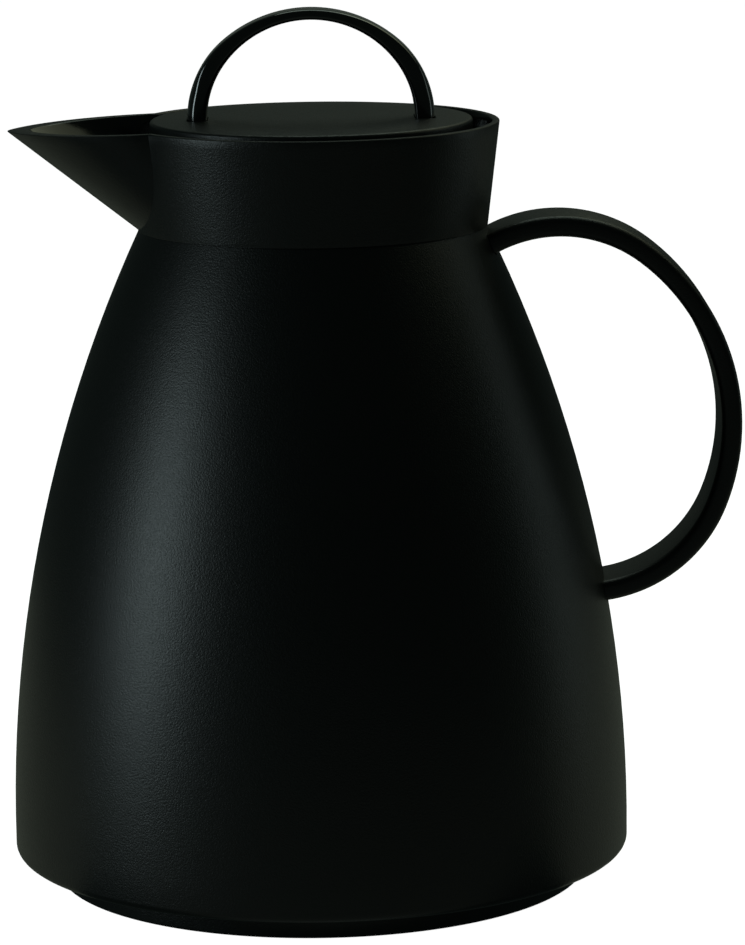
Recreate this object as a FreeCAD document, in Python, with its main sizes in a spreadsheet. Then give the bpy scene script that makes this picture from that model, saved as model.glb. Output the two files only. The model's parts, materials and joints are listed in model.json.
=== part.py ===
# Thermal carafe: bell-shaped body, collar with a long spout, strap handle and a screw-in stopper lid.
# Millimetres. The origin is the centre of the foot, +Z is up, the spout points to -X, the handle to +X.
import FreeCAD
import Part
import math
import os
import re
import Sketcher

# Driving dimensions, each a cell of the document's sheet
SIZES = {
    # Body: the flank is one arc, upright at the belly and drawn in to the seam
    "belly_radius": 83.6,
    "belly_height": 13.8,
    "seam_radius": 46.37,
    "seam_height": 177.0,
    "shell_wall": 2.4,
    "shell_edge_radius": 1.8,
    "base_collar_height": 10.0,
    # Base: foot ring, screw-in plug, and a grip bar between two finger recesses
    "foot_set_back": 11.6,
    "base_lap": 4.0,
    "foot_height": 7.2,
    "foot_edge_radius": 0.8,
    "foot_ring_width": 7.0,
    "base_recess": 2.8,
    "base_wall": 2.2,
    "base_plug_height": 8.0,
    "grip_bar_width": 12.0,
    "base_seal_inset": 0.6,
    "base_seal_width": 2.0,
    "base_seal_height": 1.2,
    # Glass liner: two bottles, one inside the other, with a vacuum between them
    "flask_clearance": 6.3877,
    "flask_neck_radius": 30.0,
    "flask_corner_radius": 22.0,
    "flask_shoulder_rise": 38.0,
    "flask_neck_length": 9.0,
    "flask_lip_depth": 12.0,
    "flask_wall": 1.6,
    "flask_vacuum": 2.6,
    "flask_tip_radius": 3.0,
    "flask_tip_length": 6.0,
    "shoulder_share": 0.65,
    "spacer_side": 8.0,
    "spacer_drop": 22.0,
    "spacer_slack": 0.35,
    "cushion_radius": 38.0,
    "cushion_bore_radius": 9.0,
    "cushion_height": 12.0,
    # Throat: seal on the glass lip, threaded ring, gasket under the collar's floor
    "neck_seal_thickness": 2.2,
    "neck_seal_skirt": 6.0,
    "neck_seal_wall": 1.3,
    "neck_seal_bore_radius": 25.2,
    "throat_radius": 29.5,
    "throat_wall": 3.1,
    "throat_rise": 9.0,
    "seat_radius": 25.0,
    "seat_thickness": 2.4,
    "insert_flange_radius": 40.4,
    "insert_flange_thickness": 2.4,
    "gasket_thickness": 1.4,
    "gasket_margin": 0.6,
    # Collar and spout
    "collar_height": 28.0,
    "rim_radius": 50.3,
    "collar_foot_radius": 46.9,
    "collar_wall": 2.0,
    "collar_floor": 2.8,
    "collar_skirt_depth": 8.0,
    "collar_skirt_wall": 2.0,
    "spout_reach": 81.2,
    "spout_pivot": 40.0,
    "spout_drop_angle": 2.0,
    "spout_tip_radius": 8.0,
    "spout_side_radius": 39.0,
    "spout_half_width": 26.6,
    "spout_root_radius": 26.0,
    "spout_wall": 1.9,
    "spout_tip_land": 3.8,
    "spout_tail": 10.0,
    # Handle: strap along three tangent arcs
    "handle_apex_offset": 19.23,
    "handle_apex_rise": 0.2,
    "handle_top_radius": 38.5,
    "handle_back_radius": 58.6,
    "handle_low_radius": 38.0,
    "handle_root_inset": 0.89,
    "handle_upper_angle": 52.6,
    "handle_lower_angle": -21.7,
    "handle_tail": 5.1,
    "handle_stop_depth": 10.0,
    "handle_width": 21.5,
    "handle_thickness": 5.0,
    "handle_corner_radius": 1.3,
    "handle_pin_radius": 1.6,
    "handle_pin_length": 30.0,
    # Lid and loop
    "lid_radius": 43.1,
    "lid_rise": 1.0,
    "lid_edge_radius": 1.5,
    "lid_dome": 1.2,
    "lid_skirt": 5.6,
    "lid_wall": 2.5,
    "loop_half_width": 33.0,
    "loop_leg": 0.9,
    "loop_rise": 29.2,
    "loop_side_radius": 27.0,
    "loop_inner_half_width": 27.6,
    "loop_inner_rise": 26.3,
    "loop_inner_side_radius": 25.0,
    "loop_depth": 10.5,
    "loop_corner_radius": 1.2,
    "loop_socket": 1.0,
    # Stopper
    "stopper_radius": 26.4,
    "stopper_wall": 2.2,
    "stopper_flare_radius": 26.9,
    "cap_radius": 24.4,
    "cap_thickness": 2.5,
    "cap_boss_radius": 9.8,
    "seal_radius": 26.9,
    "seal_bore_radius": 22.3,
    "seal_thickness": 2.4,
    "screw_radius": 1.5,
    "screw_length": 11.0,
    "screw_head_radius": 3.0,
    "screw_head_height": 2.0,
    # Gaps between pieces, and how far a cut runs past what it cuts
    "fit_gap": 0.15,
    "running_gap": 0.3,
    "overrun": 6.0,
}

# Sizes that follow from others, written in their names
DERIVED = {
    "flank_draw": "belly_radius - seam_radius",
    "flank_radius": "(flank_draw^2 + (seam_height - belly_height)^2) / (2 * flank_draw)",
    "flank_centre": "belly_radius - flank_radius",
    "flank_bore": "flank_radius - shell_wall",
    "seam_bore_radius": "flank_centre + sqrt(flank_bore^2 - (seam_height - belly_height)^2)",
    "edge_height": "foot_height + shell_edge_radius",
    "edge_body_radius": "flank_centre + sqrt(flank_radius^2 - (edge_height - belly_height)^2)",
    "flange_height": "foot_height + shell_wall",
    "flange_body_radius": "flank_centre + sqrt(flank_bore^2 - (flange_height - belly_height)^2)",
    "foot_radius": "belly_radius - foot_set_back",
    "base_hole_radius": "foot_radius - base_lap",
    "plug_radius": "base_hole_radius - fit_gap",
    "base_floor_height": "base_recess + base_wall",
    "base_seal_radius": "base_hole_radius + base_seal_inset",
    "recess_radius": "foot_radius - foot_ring_width",
    "flask_foot_height": "base_floor_height + cushion_height",
    "flask_lip_height": "seam_height - flask_lip_depth",
    "flask_neck_height": "flask_lip_height - flask_neck_length",
    "flask_shoulder_height": "flask_neck_height - flask_shoulder_rise",
    "flask_radius":
        "flank_centre + sqrt(flank_bore^2 - (flask_shoulder_height - belly_height)^2) - flask_clearance",
    "spacer_height": "flask_shoulder_height - spacer_drop",
    "flask_shift": "flask_radius - flask_neck_radius",
    "shoulder_radii": "(flask_shift^2 + flask_shoulder_rise^2) / (2 * flask_shift)",
    "shoulder_radius": "shoulder_share * shoulder_radii",
    "neck_curve_radius": "shoulder_radii - shoulder_radius",
    "shoulder_run_share": "(shoulder_radii - flask_shift) / shoulder_radii",
    "shoulder_climb_share": "flask_shoulder_rise / shoulder_radii",
    "inner_bottle_offset": "flask_wall + flask_vacuum",
    "insert_foot_height": "flask_lip_height + neck_seal_thickness",
    "seat_height": "insert_foot_height + seat_thickness",
    "gasket_height": "seam_height - gasket_thickness",
    "insert_flange_height": "gasket_height - insert_flange_thickness",
    "insert_radius": "throat_radius + throat_wall",
    "throat_height": "seam_height + throat_rise",
    "collar_hole_radius": "insert_radius + fit_gap",
    "rim_height": "seam_height + collar_height",
    "collar_skirt_radius": "seam_bore_radius - running_gap",
    "collar_floor_height": "seam_height + collar_floor",
    "collar_taper": "(rim_radius - collar_foot_radius) / collar_height",
    "bowl_rim_radius": "rim_radius - collar_wall",
    "bowl_floor_radius": "collar_foot_radius - collar_wall + collar_taper * collar_floor",
    "keel_share": "(spout_reach - collar_foot_radius) / collar_height",
    "spout_side_drop": "spout_side_radius - spout_half_width",
    "spout_side_run": "sqrt((spout_side_radius - spout_tip_radius)^2 - spout_side_drop^2)",
    "spout_joint_cosine": "spout_side_run / (spout_side_radius - spout_tip_radius)",
    "spout_joint_sine": "spout_side_drop / (spout_side_radius - spout_tip_radius)",
    "seal_height": "seat_height",
    "stopper_foot_height": "seal_height + seal_thickness + running_gap",
    "stopper_floor_height": "stopper_foot_height + stopper_wall",
    "lid_edge_height": "rim_height + lid_rise",
    "lid_foot_height": "lid_edge_height - lid_skirt",
    "lid_under_height": "lid_edge_height - lid_wall",
    "lid_rim_bore_radius": "lid_radius - lid_wall",
    "plate_height": "lid_under_height - stopper_wall",
    "plate_radius": "lid_rim_bore_radius - fit_gap",
    "stopper_bore_radius": "stopper_radius - stopper_wall",
    "cap_spigot_radius": "seal_bore_radius - running_gap",
    "cap_flange_height": "seal_height - running_gap",
    "loop_foot_height": "lid_edge_height - loop_socket",
    "loop_spring_height": "loop_foot_height + loop_leg",
    "loop_foot_reach": "(loop_half_width + loop_inner_half_width) / 2",
    "screw_hole_radius": "screw_radius + fit_gap",
    "handle_apex_reach": "seam_radius + handle_apex_offset",
    "handle_top_height": "seam_height + handle_apex_rise - handle_top_radius",
    "handle_upper_shift": "handle_top_radius - handle_back_radius",
    "handle_back_reach": "handle_apex_reach + handle_upper_shift * cos(handle_upper_angle)",
    "handle_back_height": "handle_top_height + handle_upper_shift * sin(handle_upper_angle)",
    "handle_lower_shift": "handle_back_radius - handle_low_radius",
    "handle_low_reach": "handle_back_reach + handle_lower_shift * cos(handle_lower_angle)",
    "handle_low_height": "handle_back_height + handle_lower_shift * sin(handle_lower_angle)",
    "handle_start_reach": "seam_radius - handle_root_inset",
    "handle_start_run": "handle_start_reach - handle_apex_reach",
    "handle_start_rise": "sqrt(handle_top_radius^2 - handle_start_run^2)",
    "handle_start_height": "handle_top_height + handle_start_rise",
    "handle_end_height": "handle_low_height - handle_low_radius",
    "pin_wall_radius": "flank_centre + sqrt(flank_bore^2 - (handle_end_height - belly_height)^2)",
    "pin_reach": "sqrt(pin_wall_radius^2 - (handle_pin_length / 2)^2) - handle_pin_radius - running_gap",
    "pin_run": "max(pin_reach - handle_low_reach; 0)",
    "pin_height": "handle_low_height - sqrt(handle_low_radius^2 - pin_run^2)",
    "handle_end_reach": "min(pin_reach; handle_low_reach) - handle_tail",
    "stop_bore": "flank_bore - handle_stop_depth",
    "stop_foot_radius": "flank_centre + sqrt(stop_bore^2 - (foot_height - belly_height)^2)",
    "stop_seam_radius": "flank_centre + sqrt(stop_bore^2 - (seam_height - belly_height)^2)",
}

doc = FreeCAD.newDocument("thermal_carafe")
sheet = doc.addObject("Spreadsheet::Sheet", "Sizes")
for row, (word, number) in enumerate(SIZES.items(), 1):
    sheet.set(f"A{row}", word)
    sheet.set(f"B{row}", str(number))
    sheet.setAlias(f"B{row}", word)
doc.recompute()


def formula(text):
    """A sum in size names, spelled out so that the document's objects can be bound to it."""
    def spell(match):
        word = match.group(0)
        if word in DERIVED:
            return f"({formula(DERIVED[word])})"
        return f"Sizes.{word}" if word in SIZES else word
    return re.sub(r"[a-z][a-z_]*", spell, text)


def number(text):
    return float(sheet.evalExpression(formula(text)))


def origin_plane(body, role):
    return [feature for feature in body.Origin.OriginFeatures if feature.Role == role][0]


def new_sketch(body, name, role):
    sketch = body.newObject("Sketcher::SketchObject", name)
    sketch.AttachmentSupport = (origin_plane(body, role), [""])
    sketch.MapMode = "FlatFace"
    return sketch


def arc_between(start, end, radius, turn):
    """The short arc from start to end, turning left (1) or right (-1)."""
    across = end - start
    left = FreeCAD.Vector(-across.y, across.x, 0).normalize()
    rise = math.sqrt(radius ** 2 - (across.Length / 2) ** 2)
    centre = (start + end) / 2 + left * rise * turn
    first, last = (start, end) if turn > 0 else (end, start)
    angles = [math.atan2(point.y - centre.y, point.x - centre.x) for point in (first, last)]
    return Part.ArcOfCircle(Part.Circle(centre, FreeCAD.Vector(0, 0, 1), radius), *angles)


def place_point(sketch, edge, end, corner):
    """Binds one end of an edge to a corner written in size names."""
    for kind, axis, text in (("DistanceX", -2, corner[0]), ("DistanceY", -1, corner[1])):
        if text == "0":
            sketch.addConstraint(Sketcher.Constraint("PointOnObject", edge, end, axis))
            continue
        index = sketch.addConstraint(Sketcher.Constraint(kind, -1, 1, edge, end, number(text)))
        sketch.setExpression(f"Constraints[{index}]", formula(text))


def draw(sketch, corners, closed=True):
    """Draws lines from corner to corner. A corner that also gives a radius and a turn starts an arc."""
    points = [FreeCAD.Vector(number(corner[0]), number(corner[1]), 0) for corner in corners]
    ends = []
    count = len(corners) if closed else len(corners) - 1
    for index in range(count):
        start, end = points[index], points[(index + 1) % len(points)]
        corner = corners[index]
        if len(corner) == 2:
            edge = sketch.addGeometry(Part.LineSegment(start, end), False)
            ends.append((edge, 1, 2))
            continue
        edge = sketch.addGeometry(arc_between(start, end, number(corner[2]), corner[3]), False)
        ends.append((edge, 1, 2) if corner[3] > 0 else (edge, 2, 1))
    for index in range(count if closed else count - 1):
        following = ends[(index + 1) % count]
        sketch.addConstraint(Sketcher.Constraint("Coincident", ends[index][0], ends[index][2],
                                                 following[0], following[1]))
    for index, (edge, first, last) in enumerate(ends):
        place_point(sketch, edge, first, corners[index])
        if len(corners[index]) > 2:
            radius = corners[index][2]
            held = sketch.addConstraint(Sketcher.Constraint("Radius", edge, number(radius)))
            sketch.setExpression(f"Constraints[{held}]", formula(radius))
    if not closed:
        place_point(sketch, ends[-1][0], ends[-1][2], corners[-1])
    return sketch


def new_body(name):
    body = doc.addObject("PartDesign::Body", name)
    body.Label = name
    return body


def revolve(body, name, corners, kind="PartDesign::Revolution"):
    """Turns an outline of radius and height corners about the carafe's axis."""
    sketch = draw(new_sketch(body, name + "_outline", "XZ_Plane"), corners)
    turned = body.newObject(kind, name)
    turned.Profile = sketch
    turned.ReferenceAxis = (sketch, ["V_Axis"])
    turned.Angle = 360
    sketch.Visibility = False
    return turned


def turned_piece(name, corners):
    body = new_body(name)
    revolve(body, name + "_turned", corners)
    return body


def bind(thing, **sizes):
    for property_name, text in sizes.items():
        thing.setExpression(property_name.replace("__", "."), formula(text))
    return thing


def cylinder(name, radius, height, x="0", y="0", z="0", axis=None):
    rod = bind(doc.addObject("Part::Cylinder", name), Radius=radius, Height=height)
    if axis:
        rod.Placement.Rotation = FreeCAD.Rotation(FreeCAD.Vector(0, 0, 1), axis)
    return bind(rod, Placement__Base__x=x, Placement__Base__y=y, Placement__Base__z=z)


def box(name, length, width, height, x, y, z):
    block = bind(doc.addObject("Part::Box", name), Length=length, Width=width, Height=height)
    return bind(block, Placement__Base__x=x, Placement__Base__y=y, Placement__Base__z=z)


def cut(name, base, *tools):
    """Cuts the tools away one after the other. The last cut carries the piece's name."""
    for index, tool in enumerate(tools):
        last = index == len(tools) - 1
        result = doc.addObject("Part::Cut", name if last else f"{name}_cut_{index}")
        result.Base, result.Tool = base, tool
        base = result
    base.Label = name
    return base


def group(name, *things):
    compound = doc.addObject("Part::Compound", name)
    compound.Links = list(things)
    compound.Label = name
    return compound


# Handle: a strap with rounded corners along three tangent arcs, its ends let into the body.
# The lower end runs straight in, and stops clear of the liner however far the wall is moved.
def strap(name, margin):
    body = new_body(name)
    path = draw(new_sketch(body, name + "_path", "XZ_Plane"), [
        ("handle_start_reach", "handle_start_height", "handle_top_radius", -1),
        ("handle_apex_reach + handle_top_radius * cos(handle_upper_angle)",
         "handle_top_height + handle_top_radius * sin(handle_upper_angle)", "handle_back_radius", -1),
        ("handle_back_reach + handle_back_radius * cos(handle_lower_angle)",
         "handle_back_height + handle_back_radius * sin(handle_lower_angle)", "handle_low_radius", -1),
        ("handle_low_reach", "handle_end_height"),
        ("handle_end_reach", "handle_end_height"),
    ], closed=False)
    half = f"(handle_width / 2 + {margin})"
    thick = f"(handle_thickness / 2 + {margin})"
    flat, side = f"({half} - handle_corner_radius)", f"({thick} - handle_corner_radius)"
    section = new_sketch(body, name + "_section", "XY_Plane")
    section.MapMode = "Deactivated"
    section.AttachmentSupport = None
    draw(section, [
        (f"-{flat}", f"-{thick}"), (flat, f"-{thick}", "handle_corner_radius", 1),
        (half, f"-{side}"), (half, side, "handle_corner_radius", 1),
        (flat, thick), (f"-{flat}", thick, "handle_corner_radius", 1),
        (f"-{half}", side), (f"-{half}", f"-{side}", "handle_corner_radius", 1),
    ])
    # The section's own axes: across the strap, and outwards from the first arc's centre
    across = FreeCAD.Vector(0, 1, 0)
    outwards = FreeCAD.Vector(number("handle_start_run / handle_top_radius"), 0,
                              number("handle_start_rise / handle_top_radius"))
    turn = FreeCAD.Matrix()
    turn.setCol(0, across)
    turn.setCol(1, outwards)
    turn.setCol(2, across.cross(outwards))
    section.Placement.Rotation = FreeCAD.Rotation(turn)
    bind(section, Placement__Base__x="handle_start_reach", Placement__Base__z="handle_start_height")
    pipe = body.newObject("PartDesign::AdditivePipe", name + "_sweep")
    pipe.Profile = section
    pipe.Spine = (path, [""])
    return body


strap_solid = strap("handle_strap", "0")
slot_solid = strap("handle_slot", "fit_gap")
handle_stop = turned_piece("handle_stop", [
    ("0", "foot_height"),
    ("stop_foot_radius", "foot_height", "stop_bore", 1),
    ("stop_seam_radius", "seam_height"),
    ("0", "seam_height"),
])
pin_hole = cylinder("handle_pin_hole", "handle_pin_radius + fit_gap", "handle_width + 2 * overrun",
                    x="pin_reach", y="-handle_width / 2 - overrun", z="pin_height",
                    axis=FreeCAD.Vector(0, 1, 0))
handle = cut("handle", strap_solid, handle_stop, pin_hole)
handle_pin = cylinder("handle_pin", "handle_pin_radius", "handle_pin_length",
                      x="pin_reach", y="-handle_pin_length / 2", z="pin_height",
                      axis=FreeCAD.Vector(0, 1, 0))

# Body shell: a bell of even wall, open at the seam, with a flange and a collar round the base opening
shell_solid = turned_piece("shell_bell", [
    ("seam_bore_radius", "seam_height"),
    ("seam_radius", "seam_height", "flank_radius", -1),
    ("edge_body_radius", "edge_height", "shell_edge_radius", -1),
    ("edge_body_radius - shell_edge_radius", "foot_height"),
    ("base_hole_radius", "foot_height"),
    ("base_hole_radius", "foot_height + base_collar_height"),
    ("base_hole_radius + shell_wall", "foot_height + base_collar_height"),
    ("base_hole_radius + shell_wall", "flange_height"),
    ("flange_body_radius", "flange_height", "flank_bore", 1),
])
body_shell = cut("body_shell", shell_solid, slot_solid)

# Base cover: foot ring, floor and plug in one moulding, with a grip bar flush with the foot
base_cover = new_body("base_cover")
revolve(base_cover, "base_turned", [
    ("recess_radius", "0"),
    ("foot_radius - foot_edge_radius", "0", "foot_edge_radius", 1),
    ("foot_radius", "foot_edge_radius"),
    ("foot_radius", "foot_height"),
    ("base_seal_radius + base_seal_width", "foot_height"),
    ("base_seal_radius + base_seal_width", "foot_height - base_seal_height"),
    ("base_seal_radius", "foot_height - base_seal_height"),
    ("base_seal_radius", "foot_height"),
    ("plug_radius", "foot_height"),
    ("plug_radius", "foot_height + base_plug_height"),
    ("plug_radius - base_wall", "foot_height + base_plug_height"),
    ("plug_radius - base_wall", "base_floor_height"),
    ("0", "base_floor_height"),
    ("0", "base_recess"),
    ("recess_radius", "base_recess"),
])
bar_outline = draw(new_sketch(base_cover, "grip_bar_outline", "XY_Plane"), [
    ("-recess_radius", "-grip_bar_width / 2"), ("recess_radius", "-grip_bar_width / 2"),
    ("recess_radius", "grip_bar_width / 2"), ("-recess_radius", "grip_bar_width / 2"),
])
grip_bar = base_cover.newObject("PartDesign::Pad", "grip_bar")
grip_bar.Profile = bar_outline
bind(grip_bar, Length="base_recess")

base_seal = turned_piece("base_seal", [
    ("base_seal_radius + fit_gap", "foot_height - base_seal_height"),
    ("base_seal_radius + base_seal_width - fit_gap", "foot_height - base_seal_height"),
    ("base_seal_radius + base_seal_width - fit_gap", "foot_height"),
    ("base_seal_radius + fit_gap", "foot_height"),
])

base_cushion = turned_piece("base_cushion", [
    ("cushion_bore_radius", "base_floor_height"),
    ("cushion_radius", "base_floor_height"),
    ("cushion_radius", "flask_foot_height"),
    ("cushion_bore_radius", "flask_foot_height"),
])


# Glass liner: both bottles are the same curve, set in by the thickness of what lies outside them
def bottle_side(depth):
    """Corners from the bottom to the neck of a bottle wall that lies this deep in the liner."""
    joint_run = f"(shoulder_radius - ({depth})) * shoulder_run_share"
    joint_climb = f"(shoulder_radius - ({depth})) * shoulder_climb_share"
    return [
        ("flask_radius - flask_corner_radius", f"flask_foot_height + {depth}",
         f"flask_corner_radius - ({depth})", 1),
        (f"flask_radius - ({depth})", "flask_foot_height + flask_corner_radius"),
        (f"flask_radius - ({depth})", "flask_shoulder_height", f"shoulder_radius - ({depth})", 1),
        (f"flask_radius - shoulder_radius + {joint_run}", f"flask_shoulder_height + {joint_climb}",
         f"neck_curve_radius + {depth}", -1),
        (f"flask_neck_radius - ({depth})", "flask_neck_height"),
    ]


def reverse(corners):
    """The same outline walked the other way, with each arc kept on its edge."""
    plain = [corner[:2] for corner in corners][::-1]
    arcs = [(corner[2], -corner[3]) if len(corner) > 2 else () for corner in corners[:-1]][::-1]
    return [point + arc for point, arc in zip(plain, arcs + [()])]


flask_outer = turned_piece("flask_outer", [
    ("0", "flask_foot_height - flask_tip_length"),
    ("flask_tip_radius / 2", "flask_foot_height - flask_tip_length"),
    ("flask_tip_radius", "flask_foot_height"),
    *bottle_side("0"),
    ("flask_neck_radius", "flask_lip_height - flask_wall"),
    ("flask_neck_radius - flask_wall", "flask_lip_height - flask_wall"),
    *reverse(bottle_side("flask_wall")),
    ("0", "flask_foot_height + flask_wall"),
])
flask_inner = turned_piece("flask_inner", [
    ("0", "flask_foot_height + inner_bottle_offset"),
    *bottle_side("inner_bottle_offset"),
    ("flask_neck_radius - inner_bottle_offset", "flask_lip_height - flask_wall"),
    ("flask_neck_radius", "flask_lip_height - flask_wall"),
    ("flask_neck_radius", "flask_lip_height"),
    ("flask_neck_radius - inner_bottle_offset - flask_wall", "flask_lip_height"),
    *reverse(bottle_side("inner_bottle_offset + flask_wall")),
    ("0", "flask_foot_height + inner_bottle_offset + flask_wall"),
])

SPACER_COUNT = 3
spacers = []
for index in range(SPACER_COUNT):
    angle = 360 * index / SPACER_COUNT
    pad = bind(doc.addObject("Part::Box", f"spacer_{index}"), Length="flask_vacuum - spacer_slack",
               Width="spacer_side", Height="spacer_side")
    pad.Placement.Rotation = FreeCAD.Rotation(FreeCAD.Vector(0, 0, 1), angle)
    reach = "(flask_radius - inner_bottle_offset + spacer_slack / 2)"
    bind(pad, Placement__Base__x=f"{reach} * cos({angle}) + spacer_side / 2 * sin({angle})",
         Placement__Base__y=f"{reach} * sin({angle}) - spacer_side / 2 * cos({angle})",
         Placement__Base__z="spacer_height")
    spacers.append(pad)
flask_spacers = group("flask_spacers", *spacers)

# Throat: the seal caps the glass lip, the ring stands on it and is held down by the collar's floor
neck_seal = turned_piece("neck_seal", [
    ("neck_seal_bore_radius", "flask_lip_height"),
    ("flask_neck_radius + fit_gap", "flask_lip_height"),
    ("flask_neck_radius + fit_gap", "flask_lip_height - neck_seal_skirt"),
    ("flask_neck_radius + fit_gap + neck_seal_wall", "flask_lip_height - neck_seal_skirt"),
    ("flask_neck_radius + fit_gap + neck_seal_wall", "insert_foot_height"),
    ("neck_seal_bore_radius", "insert_foot_height"),
])
neck_insert = turned_piece("neck_insert", [
    ("seat_radius", "insert_foot_height"),
    ("insert_radius", "insert_foot_height"),
    ("insert_radius", "insert_flange_height"),
    ("insert_flange_radius", "insert_flange_height"),
    ("insert_flange_radius", "gasket_height"),
    ("insert_radius", "gasket_height"),
    ("insert_radius", "throat_height - throat_wall / 2", "throat_wall / 2", 1),
    ("insert_radius - throat_wall / 2", "throat_height", "throat_wall / 2", 1),
    ("throat_radius", "throat_height - throat_wall / 2"),
    ("throat_radius", "seat_height"),
    ("seat_radius", "seat_height"),
])
collar_gasket = turned_piece("collar_gasket", [
    ("insert_radius + gasket_margin", "gasket_height"),
    ("insert_flange_radius - gasket_margin", "gasket_height"),
    ("insert_flange_radius - gasket_margin", "seam_height"),
    ("insert_radius + gasket_margin", "seam_height"),
])

# Collar: a cone that widens to the rim, a floor with the throat's hole, and a skirt inside the body
spout_collar = new_body("spout_collar")
revolve(spout_collar, "collar_cone", [
    ("collar_hole_radius", "seam_height"),
    ("collar_skirt_radius - collar_skirt_wall", "seam_height"),
    ("collar_skirt_radius - collar_skirt_wall", "seam_height - collar_skirt_depth"),
    ("collar_skirt_radius", "seam_height - collar_skirt_depth"),
    ("collar_skirt_radius", "seam_height"),
    ("collar_foot_radius", "seam_height"),
    ("rim_radius", "rim_height"),
    ("bowl_rim_radius", "rim_height"),
    ("bowl_floor_radius", "collar_floor_height"),
    ("collar_hole_radius", "collar_floor_height"),
])


# Spout: straight lines from a round root at the seam to a pointed outline at the rim
def spout_outline(sketch, tip_centre, tip_radius, side_centre, side_radius, half_width):
    """A rounded tip between two flatter sides, run straight back into the collar."""
    joint = f"({tip_centre} + {tip_radius} * spout_joint_cosine)"
    return draw(sketch, [
        (f"-{side_centre}", f"-{half_width}"),
        (f"-{side_centre} + spout_tail", f"-{half_width}"),
        (f"-{side_centre} + spout_tail", half_width),
        (f"-{side_centre}", half_width, side_radius, 1),
        (f"-{joint}", f"{tip_radius} * spout_joint_sine", tip_radius, 1),
        (f"-{joint}", f"-{tip_radius} * spout_joint_sine", side_radius, 1),
    ])


def spout_root(name, wall, tip_land, height):
    """The blunt section at this height, its nose on the keel."""
    sketch = new_sketch(spout_collar, name, "XY_Plane")
    bind(sketch, AttachmentOffset__Base__z=height)
    radius = f"(spout_root_radius - {wall})"
    centre = f"(collar_foot_radius + keel_share * ({height} - seam_height) - {tip_land} - {radius})"
    return spout_outline(sketch, centre, radius, centre, radius, radius)


def spout_mouth(name, wall, tip_land):
    """The pointed section at the rim, in a plane that drops a little towards the tip."""
    sketch = new_sketch(spout_collar, name, "XY_Plane")
    sketch.AttachmentOffset.Rotation = FreeCAD.Rotation(FreeCAD.Vector(0, 1, 0),
                                                        -number("spout_drop_angle"))
    bind(sketch, AttachmentOffset__Base__x="-spout_pivot", AttachmentOffset__Base__z="rim_height")
    tip_centre = f"(spout_reach - spout_pivot - spout_tip_radius - {tip_land} + {wall})"
    return spout_outline(sketch, tip_centre, f"(spout_tip_radius - {wall})",
                         f"({tip_centre} - spout_side_run)", f"(spout_side_radius - {wall})",
                         f"(spout_half_width - {wall})")


spout_outside = spout_collar.newObject("PartDesign::AdditiveLoft", "spout_outside")
spout_outside.Profile = spout_root("spout_root_section", "0", "0", "seam_height")
spout_outside.Sections = [spout_mouth("spout_mouth_section", "0", "0")]
spout_outside.Ruled = True
bowl = revolve(spout_collar, "bowl", [
    ("0", "seam_height - overrun"),
    ("collar_hole_radius", "seam_height - overrun"),
    ("collar_hole_radius", "collar_floor_height"),
    ("bowl_floor_radius", "collar_floor_height"),
    ("bowl_rim_radius", "rim_height"),
    ("bowl_rim_radius", "rim_height + overrun"),
    ("0", "rim_height + overrun"),
], "PartDesign::Groove")
spout_channel = spout_collar.newObject("PartDesign::SubtractiveLoft", "spout_channel")
spout_channel.Profile = spout_root("channel_root_section", "spout_wall", "spout_tip_land",
                                   "collar_floor_height")
channel_mouth = spout_mouth("channel_mouth_section", "spout_wall", "spout_tip_land")
spout_channel.Sections = [channel_mouth]
spout_channel.Ruled = True
channel_top = spout_collar.newObject("PartDesign::Pocket", "channel_top")
channel_top.Profile = channel_mouth
channel_top.Reversed = True
bind(channel_top, Length="overrun")

# Lid: a shallow dish with a domed top, sockets for the loop's feet and holes for its screws
lid_dish = turned_piece("lid_dish", [
    ("0", "lid_under_height"),
    ("lid_rim_bore_radius", "lid_under_height"),
    ("lid_rim_bore_radius", "lid_foot_height"),
    ("lid_radius", "lid_foot_height"),
    ("lid_radius", "lid_edge_height - lid_edge_radius", "lid_edge_radius", 1),
    ("lid_radius - lid_edge_radius", "lid_edge_height",
     "((lid_radius - lid_edge_radius)^2 + lid_dome^2) / (2 * lid_dome)", 1),
    ("0", "lid_edge_height + lid_dome"),
])
socket_tools, hole_tools, screws = [], [], []
for side in (-1, 1):
    tag = "left" if side < 0 else "right"
    middle = f"{side} * loop_foot_reach"
    leg = "(loop_half_width - loop_inner_half_width)"
    socket_tools.append(box(f"loop_socket_{tag}", f"{leg} + 2 * fit_gap", "loop_depth + 2 * fit_gap",
                            "overrun", f"{middle} - {leg} / 2 - fit_gap",
                            "-loop_depth / 2 - fit_gap", "loop_foot_height"))
    hole_tools.append(cylinder(f"screw_hole_{tag}", "screw_hole_radius",
                               "screw_length + overrun", x=middle,
                               z="plate_height - overrun + fit_gap"))
    shank = cylinder(f"screw_shank_{tag}", "screw_radius", "screw_length", x=middle,
                     z="plate_height")
    head = cylinder(f"screw_head_{tag}", "screw_head_radius", "screw_head_height", x=middle,
                    z="plate_height - screw_head_height")
    screw = doc.addObject("Part::Fuse", f"loop_screw_{tag}")
    screw.Base, screw.Tool = head, shank
    screws.append(screw)
loop_screws = group("loop_screws", *screws)
lid_cover = cut("lid_cover", lid_dish, *socket_tools, *hole_tools)


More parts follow.
